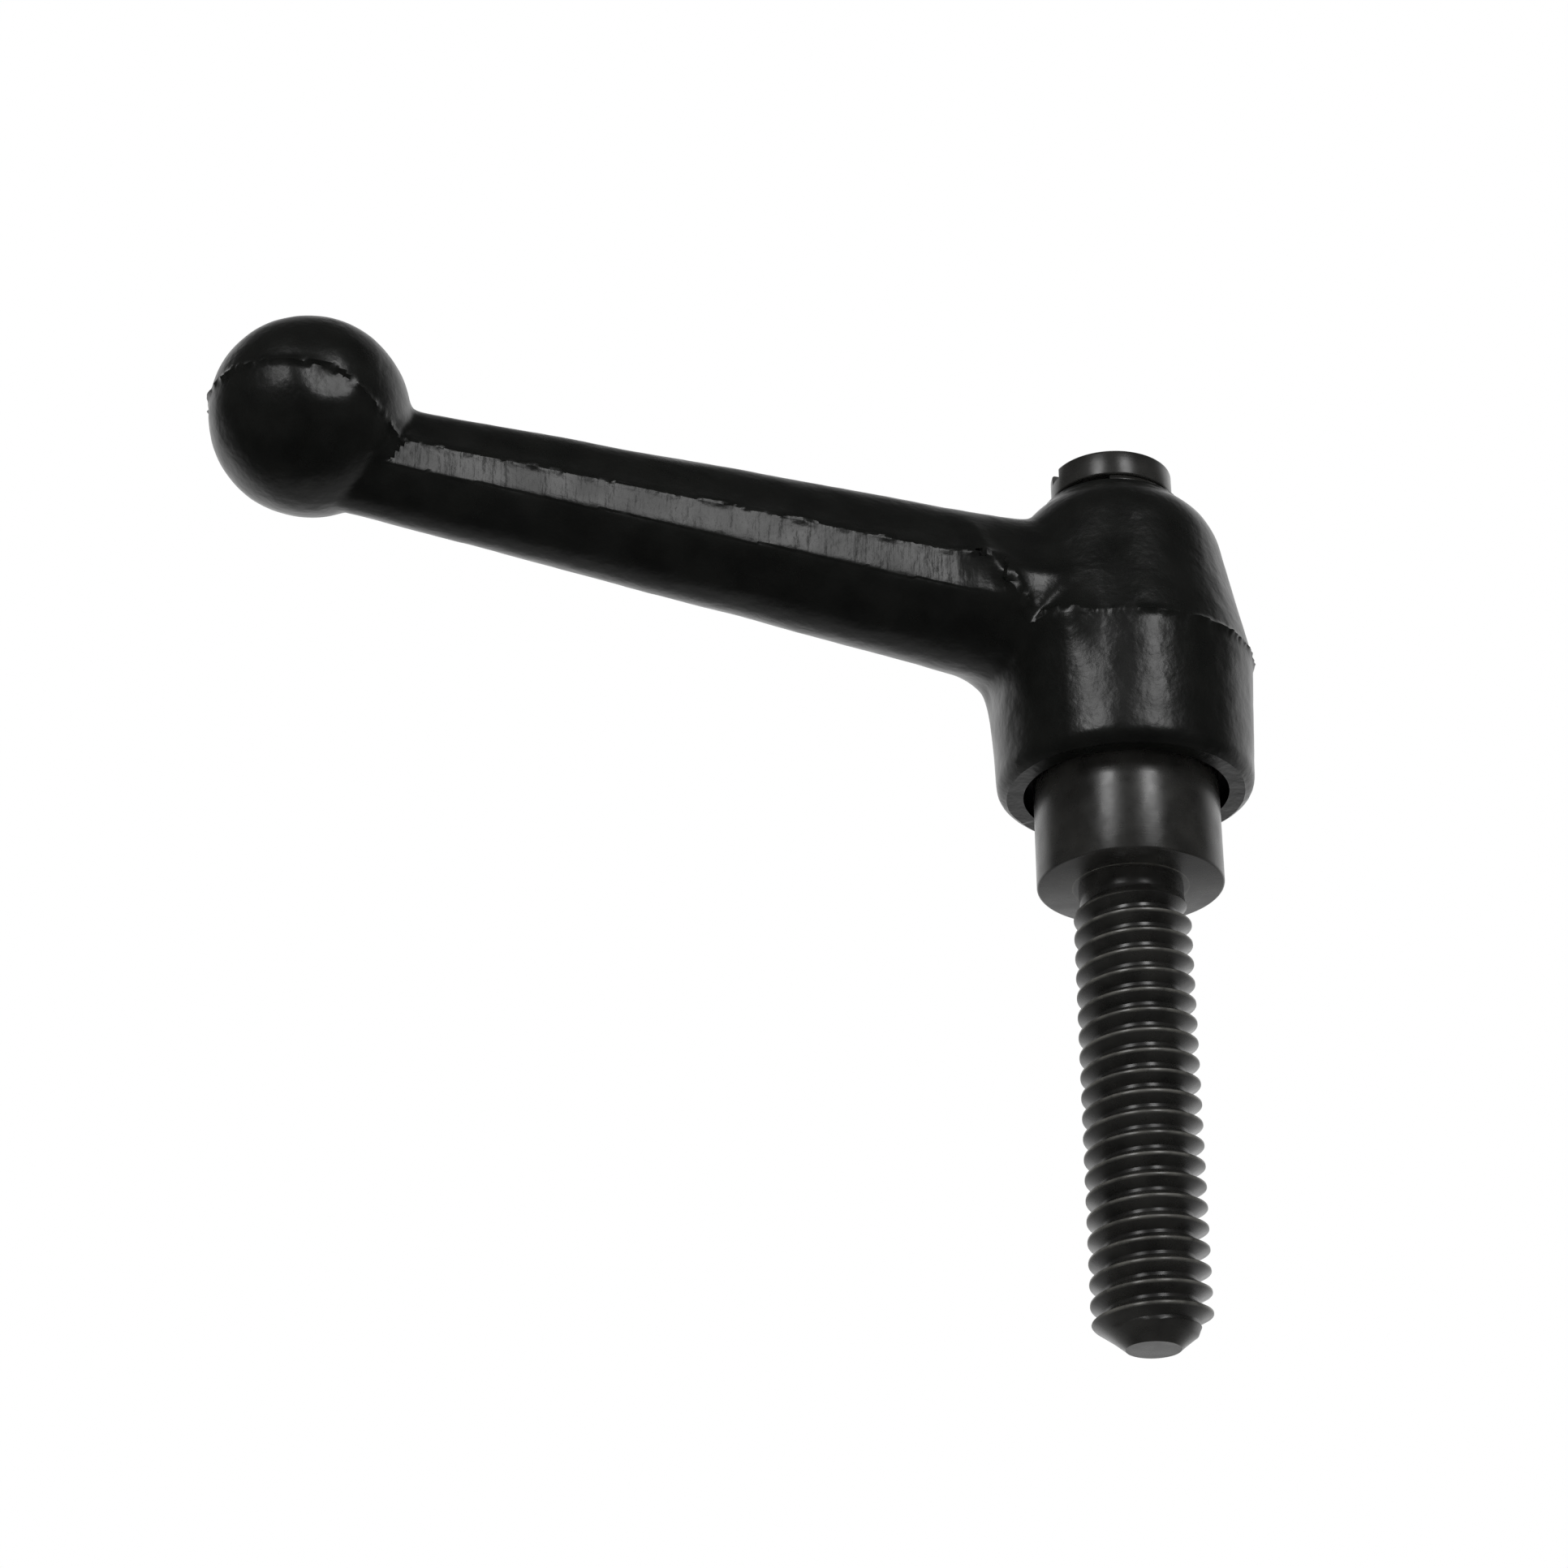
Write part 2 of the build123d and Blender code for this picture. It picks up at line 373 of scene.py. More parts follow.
# %% Finish of the black casting
casting, tree, shader = finish_of("black cast skin", IOR=1.5, Metallic=0.0)
mottle = scattered(tree, 420.0, detail=4.0)
colour = blended(
    tree,
    spread(tree, mottle, 0.35, 0.65),
    (0.0028, 0.0031, 0.0026, 1),
    (0.0052, 0.0056, 0.0048, 1),
)
tree.links.new(colour, shader.inputs["Base Color"])
gloss = spread(tree, scattered(tree, 260.0, detail=5.0), 0.3, 0.7, 0.25, 0.36)
tree.links.new(gloss, shader.inputs["Roughness"])
skin = relief(tree, scattered(tree, 2600.0, detail=3.0), 0.018)
skin = relief(tree, scattered(tree, 700.0, detail=2.0), 0.045, under=skin)
filed = node_link(tree, "ShaderNodeAttribute", attribute_name="filed").outputs["Fac"]
strokes = scattered(tree, 1100.0, detail=3.0, stretch=(1.0, 0.2, 0.16))
skin = relief(tree, counted(tree, "MULTIPLY", strokes, filed), 0.060, under=skin)
tree.links.new(skin, shader.inputs["Normal"])
print(casting.name, "has", len(tree.nodes), "nodes")


# %% Finishes of the blackened steel
def blackened(name, base, gloss_low, gloss_high, ring_depth):
    """Blackened turned steel: rings from the tool, and a gloss that drifts."""
    material, tree, shader = finish_of(name, IOR=1.62, Metallic=0.0)
    drift = scattered(tree, 380.0, detail=4.0)
    lighter = tuple(value * 2.2 for value in base) + (1.0,)
    colour = blended(tree, spread(tree, drift, 0.35, 0.68), base + (1.0,), lighter)
    tree.links.new(colour, shader.inputs["Base Color"])
    smears = scattered(tree, 620.0, detail=5.0, shift=3.0)
    gloss = spread(tree, smears, 0.3, 0.7, gloss_low, gloss_high)
    tree.links.new(gloss, shader.inputs["Roughness"])
    rings = scattered(tree, 9000.0, detail=2.0, stretch=(0.012, 0.012, 1.0))
    skin = relief(tree, rings, ring_depth)
    skin = relief(tree, scattered(tree, 1800.0, detail=3.0, shift=7.0), 0.004, under=skin)
    tree.links.new(skin, shader.inputs["Normal"])
    return material, tree, shader


stud_black, stud_tree, stud_shader = blackened(
    "black stud steel", (0.0100, 0.0098, 0.0090), 0.21, 0.35, 0.0030
)
screw_black, _, _ = blackened(
    "black screw steel", (0.0110, 0.0108, 0.0100), 0.21, 0.34, 0.0030
)
wire_black, _, _ = blackened(
    "black spring wire", (0.0065, 0.0062, 0.0055), 0.22, 0.34, 0.0
)
print("three blackened steels")

# %% [markdown]
# ## Worn crests
#
# Handling rubs the black off the thread's crests first. The mask is the distance from the
# stud's axis: the crests stand furthest out, so they alone are lighter and a little patchy.

# %% Rub the thread's crests
CREST_FROM = 3.76
CREST_TO = 3.90
BEYOND_CREST = 3.92
RUBBED = (0.085, 0.083, 0.075, 1.0)
place = node_link(stud_tree, "ShaderNodeTexCoord").outputs["Object"]
flat_place = node_link(
    stud_tree, "ShaderNodeVectorMath", {0: place, 1: (1.0, 1.0, 0.0)}, operation="MULTIPLY"
).outputs["Vector"]
from_axis = node_link(
    stud_tree, "ShaderNodeVectorMath", {0: flat_place}, operation="LENGTH"
).outputs["Value"]
crest = spread(stud_tree, from_axis, CREST_FROM * MM, CREST_TO * MM)
off_collar = counted(stud_tree, "LESS_THAN", from_axis, BEYOND_CREST * MM)
patchy = spread(stud_tree, scattered(stud_tree, 900.0, detail=4.0, shift=5.0), 0.3, 0.6, 0.25, 1.0)
rubbed = counted(stud_tree, "MULTIPLY", crest, off_collar)
rubbed = counted(stud_tree, "MULTIPLY", rubbed, patchy)
black_skin = stud_shader.inputs["Base Color"].links[0].from_socket
worn = blended(stud_tree, rubbed, black_skin, RUBBED)
stud_tree.links.new(worn, stud_shader.inputs["Base Color"])
print("the stud's finish has", len(stud_tree.nodes), "nodes")

# %% [markdown]
# ## The stud's thread
#
# A thread is one tooth of its outline, swept round and down at once. Spin does that when it
# is given a dvec: each step turns the outline a little and moves it down by its share of the
# pitch. The outline is exactly one pitch long, so each turn's end lands on the next turn's
# start, and remove_doubles welds them.

# %% Sweep the thread
PITCH = 1.411
MAJOR_R = 3.90
MINOR_R = 3.05
STUD_END_Z = -32.0
CREST_Z = -5.07
CREST_ANGLE = radians(-23.5)
NECK_R = 3.5
THREAD_STEPS = 72
TURNS = 25

# one pitch of the outline, as (radius, height from the crest's middle)
crest_half = 0.055
root_half = 0.17
tooth = [
    (MINOR_R, -(PITCH / 2)),
    (MINOR_R, -(PITCH / 2 - root_half * 0.6)),
    (MINOR_R + 0.05, -(PITCH / 2 - root_half)),
    (MAJOR_R - 0.03, -(crest_half + 0.03)),
    (MAJOR_R, -crest_half),
    (MAJOR_R, crest_half),
    (MAJOR_R - 0.03, crest_half + 0.03),
    (MINOR_R + 0.05, PITCH / 2 - root_half),
    (MINOR_R, PITCH / 2 - root_half * 0.6),
    (MINOR_R, PITCH / 2),
]
thread = bmesh.new()
TURNS_ABOVE = 5
first_crest = CREST_Z + TURNS_ABOVE * PITCH
start = [(radius, first_crest - z) for radius, z in tooth]
outline = drawn_line(thread, start, closed=False)
bmesh.ops.rotate(
    thread,
    verts=thread.verts,
    cent=(0, 0, 0),
    matrix=Matrix.Rotation(CREST_ANGLE, 3, "Z"),
)
bmesh.ops.spin(
    thread,
    geom=outline,
    cent=(0, 0, 0),
    axis=(0, 0, 1),
    dvec=(0, 0, -PITCH / THREAD_STEPS),
    angle=-2 * pi * TURNS,
    steps=THREAD_STEPS * TURNS,
    use_merge=False,
    use_duplicate=False,
)
bmesh.ops.remove_doubles(thread, verts=thread.verts, dist=0.004)
print("swept", TURNS, "turns,", len(thread.faces), "faces")

# %% [markdown]
# ## The thread's two ends
#
# The thread runs out into a plain neck under the collar, because a die can't cut right up to
# a shoulder. The far end was turned to a cone before the thread was rolled, so the last
# thread fades into it. Both are a limit on each point's radius at its height.

# %% Shape the neck and the point
RUN_OUT_TOP_Z = -1.1
RUN_OUT_END_Z = -2.4
POINT_START_Z = -30.35
POINT_R = 1.78


def smooth_share(value, low, high):
    """0 below low, 1 above high, and an even curve between."""
    share = min(max((value - low) / (high - low), 0.0), 1.0)
    return share * share * (3 - 2 * share)


def thread_radius(radius, z):
    """The radius at a height once the neck and the point are taken off."""
    cut = 1 - smooth_share(z, RUN_OUT_END_Z, RUN_OUT_TOP_Z)
    radius = NECK_R + (radius - NECK_R) * cut
    if z < POINT_START_Z:
        along = (z - STUD_END_Z) / (POINT_START_Z - STUD_END_Z)
        cone = POINT_R + (MAJOR_R - POINT_R) * (0.86 * along + 0.14 * along * along)
        radius = min(radius, cone)
    return radius


for vert in thread.verts:
    old = hypot(vert.co.x, vert.co.y)
    new = thread_radius(old, vert.co.z)
    vert.co.x *= new / old
    vert.co.y *= new / old

COLLAR_OVERLAP = 0.4
for z, side in ((COLLAR_OVERLAP, 1), (STUD_END_Z, -1)):
    whole = thread.verts[:] + thread.edges[:] + thread.faces[:]
    bmesh.ops.bisect_plane(
        thread,
        geom=whole,
        dist=0.0001,
        plane_co=(0, 0, z),
        plane_no=(0, 0, side),
        clear_outer=True,
    )
    open_edges = [edge for edge in thread.edges if edge.is_boundary]
    rim = [edge for edge in open_edges if abs(edge.verts[0].co.z - z) < 0.01]
    bmesh.ops.triangle_fill(thread, edges=rim, use_beauty=True, use_dissolve=False)
bmesh.ops.recalc_face_normals(thread, faces=thread.faces)
open_count = sum(edge.is_boundary for edge in thread.edges)
print("thread", len(thread.faces), "faces, open edges:", open_count)

# %% [markdown]
# ## The collar and its ring of teeth
#
# The collar is turned, with the edges only just broken. Above it stands the ring of 24 fine
# teeth that the lever drops over. Each tooth is one point of a star: a circle with its points
# pulled in and out in turn, extruded up.

# %% Turn the collar
COLLAR_R = 6.25
COLLAR_TOP_Z = 9.0
HEAD_TOP_Z = 12.8
TOOTH_TIP_R = 5.2
TOOTH_ROOT_R = 4.6
TEETH = 24
TAP_R = 2.1
AXIS_R = 0.0001
COLLAR_EDGE = 0.15
stud = bmesh.new()
collar = [(AXIS_R, 0.0), (COLLAR_R, 0.0), (COLLAR_R, COLLAR_TOP_Z), (AXIS_R, COLLAR_TOP_Z)]
turned(stud, collar, steps=160)
bmesh.ops.remove_doubles(stud, verts=stud.verts, dist=0.001)
for z in (0.0, COLLAR_TOP_Z):
    rounded_corners(stud, ring_at(stud, COLLAR_R, z), COLLAR_EDGE, segments=3)
bmesh.ops.recalc_face_normals(stud, faces=stud.faces)

# %% Raise the star of teeth, with a hole for the screw
STAR_SUNK = 0.3
star = bmesh.ops.create_circle(stud, cap_ends=False, radius=TOOTH_TIP_R, segments=TEETH * 4)
bmesh.ops.translate(stud, vec=(0, 0, COLLAR_TOP_Z - STAR_SUNK), verts=star["verts"])
for vert in star["verts"]:
    along = atan2(vert.co.y, vert.co.x) / (2 * pi / TEETH)
    off_tip = abs(along - round(along)) * 2
    pull = TOOTH_TIP_R + (TOOTH_ROOT_R - TOOTH_TIP_R) * min(max((off_tip - 0.05) / 0.9, 0), 1)
    vert.co.x *= pull / TOOTH_TIP_R
    vert.co.y *= pull / TOOTH_TIP_R
hole = bmesh.ops.create_circle(stud, cap_ends=False, radius=TAP_R, segments=TEETH * 2)
bmesh.ops.translate(stud, vec=(0, 0, COLLAR_TOP_Z - STAR_SUNK), verts=hole["verts"])
star_edges = {edge for vert in star["verts"] + hole["verts"] for edge in vert.link_edges}
star_floor = bmesh.ops.bridge_loops(stud, edges=list(star_edges))["faces"]
raised = bmesh.ops.extrude_face_region(stud, geom=star_floor, use_keep_orig=True)["geom"]
raised = [item for item in raised if isinstance(item, bmesh.types.BMVert)]
bmesh.ops.translate(stud, vec=(0, 0, HEAD_TOP_Z - COLLAR_TOP_Z + STAR_SUNK), verts=raised)
bmesh.ops.recalc_face_normals(stud, faces=stud.faces)
print("collar and teeth", len(stud.faces), "faces")

# %% Join thread and collar into the stud
thread_data = bpy.data.meshes.new("thread part")
thread.to_mesh(thread_data)
thread.free()
stud.from_mesh(thread_data)
bpy.data.meshes.remove(thread_data)
finished("stud", stud, "stud", "threaded_stud", stud_black)

# %% [markdown]
# ## The screw that holds it all
#
# A plain turned screw: a foot that is hidden in the stud, where its thread is left off, a smooth
# shank, and a low round head with a slot. The slot is milled, so it is cut from the turned head
# as a mill would cut it, by taking a bar away.

# %% Turn the screw
SCREW_END_Z = 3.8
SHANK_R = 2.5
HEAD_R = 4.2
HEAD_Z = 29.5
HEAD_TOP = 31.4
SLOT_WIDTH = 1.2
SLOT_DEPTH = 0.8
screw = bmesh.new()
turned(
    screw,
    [
        (AXIS_R, SCREW_END_Z),
        (TAP_R, SCREW_END_Z),
        (TAP_R, HEAD_TOP_Z),
        (SHANK_R, HEAD_TOP_Z),
        (SHANK_R, HEAD_Z),
        (HEAD_R, HEAD_Z),
        (HEAD_R, HEAD_TOP),
        (AXIS_R, HEAD_TOP),
    ],
    128,
)
bmesh.ops.remove_doubles(screw, verts=screw.verts, dist=0.001)
for z, round_r in ((HEAD_Z, 0.12), (HEAD_TOP, 0.2)):
    rounded_corners(screw, ring_at(screw, HEAD_R, z), round_r, segments=3)
bmesh.ops.recalc_face_normals(screw, faces=screw.faces)
screw_piece = finished(
    "retaining_screw_dressed", screw, "stud", "retaining_screw", screw_black
)

# %% Make the bar that the mill takes away
bar = bmesh.new()
bmesh.ops.create_cube(bar, size=1.0)
bmesh.ops.scale(bar, vec=(3 * HEAD_R, SLOT_WIDTH, 2 * SLOT_DEPTH), verts=bar.verts)
bmesh.ops.translate(bar, vec=(0, 0, HEAD_TOP), verts=bar.verts)
bmesh.ops.scale(bar, vec=(MM, MM, MM), verts=bar.verts)
bar_data = bpy.data.meshes.new("slot bar")
bar.to_mesh(bar_data)
bar.free()


# %% Mill the slot
def cut_away(piece, tool_data):
    """Takes a closed tool's space out of a piece, and keeps the result as plain mesh."""
    tool = bpy.data.objects.new("tool", tool_data)
    bpy.context.scene.collection.objects.link(tool)
    cutting = piece.modifiers.new("cut", "BOOLEAN")
    cutting.operation = "DIFFERENCE"
    cutting.solver = "EXACT"
    cutting.object = tool
    bpy.context.view_layer.update()
    seen = piece.evaluated_get(bpy.context.evaluated_depsgraph_get())
    result = bpy.data.meshes.new_from_object(seen)
    piece.modifiers.clear()
    piece.data = result
    bpy.data.objects.remove(tool)
    print(piece.name, "is cut and has", len(result.polygons), "faces")


cut_away(screw_piece, bar_data)

# %% [markdown]
# ## The return spring
#
# A compression spring is wire wound close at both ends and open between. One circle is the
# wire's section. Spin with a dvec winds it, first close, then open, then close again, and
# each stage starts from the section on which the last one stopped.

# %% Wind the spring
WIRE_R = 0.45
COIL_R = 3.95
WIND_STEPS = 48
SPRING_END = radians(66)
spring = bmesh.new()
bmesh.ops.create_circle(spring, cap_ends=True, radius=WIRE_R, segments=16)
bmesh.ops.rotate(
    spring, verts=spring.verts, cent=(0, 0, 0), matrix=Matrix.Rotation(radians(90), 3, "X")
)
SPRING_FLOOR_Z = 15.8
SEAT_GAP = 0.03
spring_top = HEAD_Z - WIRE_R - SEAT_GAP
spring_bottom = SPRING_FLOOR_Z + WIRE_R + SEAT_GAP
close_pitch = 2 * WIRE_R + 0.06
close_turns = 1.25
open_turns = 5.0
open_pitch = (spring_top - spring_bottom - 2 * close_turns * close_pitch) / open_turns
bmesh.ops.translate(spring, vec=(COIL_R, 0, spring_top), verts=spring.verts)
bmesh.ops.rotate(
    spring, verts=spring.verts, cent=(0, 0, 0), matrix=Matrix.Rotation(SPRING_END, 3, "Z")
)
easing = [close_pitch + (open_pitch - close_pitch) * share for share in (0.15, 0.5, 0.85)]
stages = (
    [(close_turns - 0.125, close_pitch)]
    + [(1 / 12, pitch) for pitch in easing]
    + [(open_turns - 0.25, open_pitch)]
    + [(1 / 12, pitch) for pitch in reversed(easing)]
    + [(close_turns - 0.125, close_pitch)]
)

# %% Wind it stage by stage
last = spring.verts[:] + spring.edges[:] + spring.faces[:]
for turns, pitch in stages:
    steps = max(round(turns * WIND_STEPS), 1)
    wound = bmesh.ops.spin(
        spring,
        geom=last,
        cent=(0, 0, 0),
        axis=(0, 0, 1),
        dvec=(0, 0, -pitch * turns / steps),
        angle=2 * pi * turns,
        steps=steps,
        use_merge=False,
        use_duplicate=False,
    )
    last = wound["geom_last"]
bmesh.ops.remove_doubles(spring, verts=spring.verts, dist=0.002)
bmesh.ops.recalc_face_normals(spring, faces=spring.faces)
spring_piece = finished(
    "wound_spring", spring, "spring", "return_spring", wire_black
)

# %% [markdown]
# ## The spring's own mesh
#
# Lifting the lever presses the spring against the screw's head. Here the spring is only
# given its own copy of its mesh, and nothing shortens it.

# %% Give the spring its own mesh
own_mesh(spring_piece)

# %% [markdown]
# ## The lever's casting
#
# The casting is a hub, a tapering arm and a ball that flow into each other. A foundry gets
# that from a wax or die of one piece. Here the three forms are laid through each other and
# remeshed to one skin, and the corners between them are then smoothed, as a file and the
# mould's own fillets would leave them.
#
# First comes the hub, as a solid with no bores. It is longer at both ends than the real one,
# so that its faces can be cut flat later.

# %% Turn the hub's outside
HUB_BOTTOM_Z = 6.8
HUB_TOP_Z = 28.7
RIDGE_Z = 16.2
RIDGE_R = 9.05
HUB_BOTTOM_R = 8.7
CONE_TOP_Z = 24.8
CONE_TOP_R = 7.35
SHOULDER_R = 5.6
SHOULDER_END = radians(58)
BOTTOM_ROUND = 0.9
EXTRA = 0.9
cone_lean = atan2(RIDGE_R - CONE_TOP_R, CONE_TOP_Z - RIDGE_Z)
shoulder_r = CONE_TOP_R - SHOULDER_R * cos(cone_lean)
shoulder_z = CONE_TOP_Z - SHOULDER_R * sin(cone_lean)


def arc(centre_r, centre_z, radius, start, end, count):
    """Points along an arc, in the half outline's own plane."""
    turns = [start + (end - start) * step / count for step in range(count + 1)]
    return [(centre_r + radius * cos(turn), centre_z + radius * sin(turn)) for turn in turns]


bottom_round = arc(
    HUB_BOTTOM_R - BOTTOM_ROUND, HUB_BOTTOM_Z + BOTTOM_ROUND, BOTTOM_ROUND, radians(-90), 0, 6
)
shoulder = arc(shoulder_r, shoulder_z, SHOULDER_R, cone_lean, SHOULDER_END, 12)
hub_outline = (
    [(AXIS_R, HUB_BOTTOM_Z - EXTRA), (HUB_BOTTOM_R - BOTTOM_ROUND, HUB_BOTTOM_Z - EXTRA)]
    + bottom_round
    + [(RIDGE_R, RIDGE_Z)]
    + shoulder
    + [(shoulder[-1][0], HUB_TOP_Z + EXTRA), (AXIS_R, HUB_TOP_Z + EXTRA)]
)
casting_forms = bmesh.new()
turned(casting_forms, hub_outline, 144)
bmesh.ops.remove_doubles(casting_forms, verts=casting_forms.verts, dist=0.0005)
bmesh.ops.recalc_face_normals(casting_forms, faces=casting_forms.faces)
print("hub outline has", len(hub_outline), "points; its top rim is at", round(shoulder[-1][0], 2))

# %% [markdown]
# ## The arm and the ball
#
# The arm rises at 4.5 degrees. Its section is two flattened arches, one from each half of the
# mould. The lower one is fuller. The sections are circles pulled into shape and bridged one
# to the next. They grow close to the hub, where the real arm spreads into it.

# %% Set the arm's sizes
RISE = radians(4.5)
ARM_Z = 19.8
ARM_START = 2.0
BALL_X = 56.75
BALL_Z = 26.4
BALL_R = 6.62
ARM_END = BALL_X / cos(RISE) - 2.0
SIZES_START = 5.0
ROOT = (5.5, 6.1, 6.05)
TIP = (3.2, 3.8, 3.9)
BLEND = (0.9, 0.6, 1.6)
BLEND_END = 11.0
PARTING_TURN = radians(18)
FLAT_SKIM_ROOT = 0.44
FLAT_SKIM_TIP = 0.27


def filed_off(station):
    """How much the file takes off each side, at a distance out."""
    return FLAT_SKIM_ROOT + (FLAT_SKIM_TIP - FLAT_SKIM_ROOT) * station / ARM_END


def arm_sizes(station):
    """Half width, height above the parting line and depth below it, at a distance out."""
    share = (station - SIZES_START) / (ARM_END - SIZES_START)
    grown = max(1 - (station - SIZES_START) / (BLEND_END - SIZES_START), 0.0) ** 2
    return [
        root + (tip - root) * share + grown * blend for root, tip, blend in zip(ROOT, TIP, BLEND)
    ]


def arm_place(station):
    """The arm's parting line at a distance out."""
    return Vector((station * cos(RISE), 0.0, ARM_Z + station * sin(RISE)))


def section_point(station, turn):
    """A point of the section: the upper arch starts lower on its circle, the lower is full."""
    half_width, upper, lower = arm_sizes(station)
    if sin(turn) >= 0:
        lifted = PARTING_TURN + turn * (pi - 2 * PARTING_TURN) / pi
        across = (half_width - filed_off(station)) * cos(lifted) / cos(PARTING_TURN)
        up = upper * (sin(lifted) - sin(PARTING_TURN)) / (1 - sin(PARTING_TURN))
    else:
        across = half_width * cos(turn)
        up = lower * sin(turn)
    centre = arm_place(station)
    return centre + Vector((-up * sin(RISE), across, up * cos(RISE)))


# %% Lay the arm's sections
SECTION_POINTS = 96
stations = [ARM_START, 5, 5.75, 6.5, 7.5, 8.5, 9.5, 11, 14, 20, 30, 40, 48, ARM_END]
loops = []
for station in stations:
    at_end = station in (stations[0], stations[-1])
    ring = bmesh.ops.create_circle(
        casting_forms, cap_ends=at_end, radius=1.0, segments=SECTION_POINTS
    )["verts"]
    for vert in ring:
        turn = atan2(vert.co.y, vert.co.x) % (2 * pi)
        vert.co = section_point(station, turn if turn <= pi else turn - 2 * pi)
    loops.append({edge for vert in ring for edge in vert.link_edges})
for first, second in zip(loops, loops[1:]):
    bmesh.ops.bridge_loops(casting_forms, edges=list(first | second))
print("the arm has", len(stations), "sections; at the ball it is", arm_sizes(ARM_END))

# %% Set the ball on the arm's end
ball = bmesh.ops.create_uvsphere(casting_forms, u_segments=96, v_segments=64, radius=BALL_R)
bmesh.ops.translate(casting_forms, vec=(BALL_X, 0, BALL_Z), verts=ball["verts"])
bmesh.ops.recalc_face_normals(casting_forms, faces=casting_forms.faces)

# %% [markdown]
# ## One skin over three forms
#
# The forms are tipped first, so that the arm lies level and the net's rows run along its
# parting line. The skin is tipped back afterwards.
#
# Voxel remesh wraps the overlapping forms in one even net of small faces. Every later step
# moves points of that net, so it is about as fine as the smallest relief that they make.

# %% Wrap the forms in one skin
VOXEL = 0.25


def tipped(mesh, angle):
    """Turns the whole casting about its arm's start, in the arm's own upright plane."""
    turn = Matrix.Rotation(angle, 3, "Y")
    bmesh.ops.rotate(mesh, verts=mesh.verts, cent=(0, 0, ARM_Z), matrix=turn)


tipped(casting_forms, RISE)
forms_data = bpy.data.meshes.new("casting forms")
casting_forms.to_mesh(forms_data)
casting_forms.free()
forms = bpy.data.objects.new("casting forms", forms_data)
bpy.context.scene.collection.objects.link(forms)
wrap = forms.modifiers.new("wrap", "REMESH")
wrap.mode = "VOXEL"
wrap.voxel_size = VOXEL
bpy.context.view_layer.update()
wrapped = bpy.data.meshes.new_from_object(
    forms.evaluated_get(bpy.context.evaluated_depsgraph_get())
)
bpy.data.objects.remove(forms)
lever = bmesh.new()
lever.from_mesh(wrapped)
tipped(lever, -RISE)
print("wrapped in", len(lever.faces), "faces")

# %% [markdown]
# ## Fillets where the forms meet
#
# Smoothing pulls a hollow corner out into a fillet. It is given only the points close to
# where the arm meets the hub and the ball, and more rounds of it give a larger fillet.

# %% Smooth the corners between the forms
def near_root(vert, gap):
    """True close to where the arm leaves the hub, within a share of the arm's own size."""
    at = vert.co
    if at.x < 2 or hypot(at.x, at.y) > 12.0:
        return False
    half_width, upper, lower = arm_sizes(at.x)
    up = at.z - (ARM_Z + at.x * tan(RISE))
    return abs(hypot(at.y / half_width, up / (upper if up > 0 else lower)) - 1) < gap


def near_ball(vert):
    """True close to where the arm enters the ball."""
    from_ball = (vert.co - Vector((BALL_X, 0, BALL_Z))).length
    return vert.co.x < BALL_X - 3.4 and 5.4 < from_ball < 8.4


def eased(verts, rounds):
    """So many rounds of smoothing."""
    for _ in range(rounds):
        bmesh.ops.smooth_vert(
            lever, verts=verts, factor=0.5, use_axis_x=True, use_axis_y=True, use_axis_z=True
        )


ROOT_ROUNDS = 6
ROOT_GAPS = (0.42, 0.32, 0.22, 0.14)
NECK_ROUNDS = 9
ALL_ROUNDS = 2
eased(lever.verts[:], ALL_ROUNDS)
for gap in ROOT_GAPS:
    eased([vert for vert in lever.verts if near_root(vert, gap)], ROOT_ROUNDS)
eased([vert for vert in lever.verts if near_ball(vert)], NECK_ROUNDS)
print("smoothed; the skin has", len(lever.verts), "points")

# %% [markdown]
# ## The parting line and the filed flats
#
# The mould's halves meet along a line that runs round the ball, steps down at its neck, runs
# straight along the arm, and drops at the root to the hub's ridge. The flash there was filed
# off, which left a nearly upright flat band just under the line on each side of the arm.
#
# The band is made as a file makes it: no point may stand out past a plane.

# %% Lay the net on the parting line
FLAT_TILT = radians(3)
FLAT_START = 11.5
FLAT_END = 51.2


def parting_height(point):
    """The height of the parting line at a place on the skin."""
    out = hypot(point.x, point.y)
    arm = ARM_Z + point.x * tan(RISE)
    ball = BALL_Z + (point.x - BALL_X) * tan(RISE)
    at_ball = smooth_share(point.x, 50.8, 57.6)
    at_hub = 1 - smooth_share(out, 8.7, 12.8)
    along = arm + (ball - arm) * at_ball
    return along + (RIDGE_Z - along) * at_hub


# the net's nearest row of points is laid exactly on the parting line
for vert in lever.verts:
    line_z = parting_height(vert.co)
    if abs(vert.co.z - line_z) < VOXEL * 0.5 and abs(vert.normal.z) < 0.8:
        vert.co.z = line_z

# %% File the flats
filed_layer = lever.verts.layers.float.new("filed")
FLAT_END_SLANT = 0.6
FLAT_TALLEST = 2.7
FLAT_DEEPEST = 0.75
for vert in lever.verts:
    station = vert.co.x / cos(RISE)
    below = ARM_Z + vert.co.x * tan(RISE) - vert.co.z
    if FLAT_START - 1.5 < station < FLAT_END + FLAT_END_SLANT * max(below, 0.0):
        half_width = arm_sizes(station)[0]
        in_window = smooth_share(station, FLAT_START - 1.5, FLAT_START + 2.0)
        wall = half_width - filed_off(station) - max(below, 0.0) * tan(FLAT_TILT)
        stands_out = abs(vert.co.y) - wall
        if -0.01 < below < FLAT_TALLEST and 0 < stands_out < FLAT_DEEPEST:
            vert.co.y = wall if vert.co.y > 0 else -wall
            vert[filed_layer] = in_window

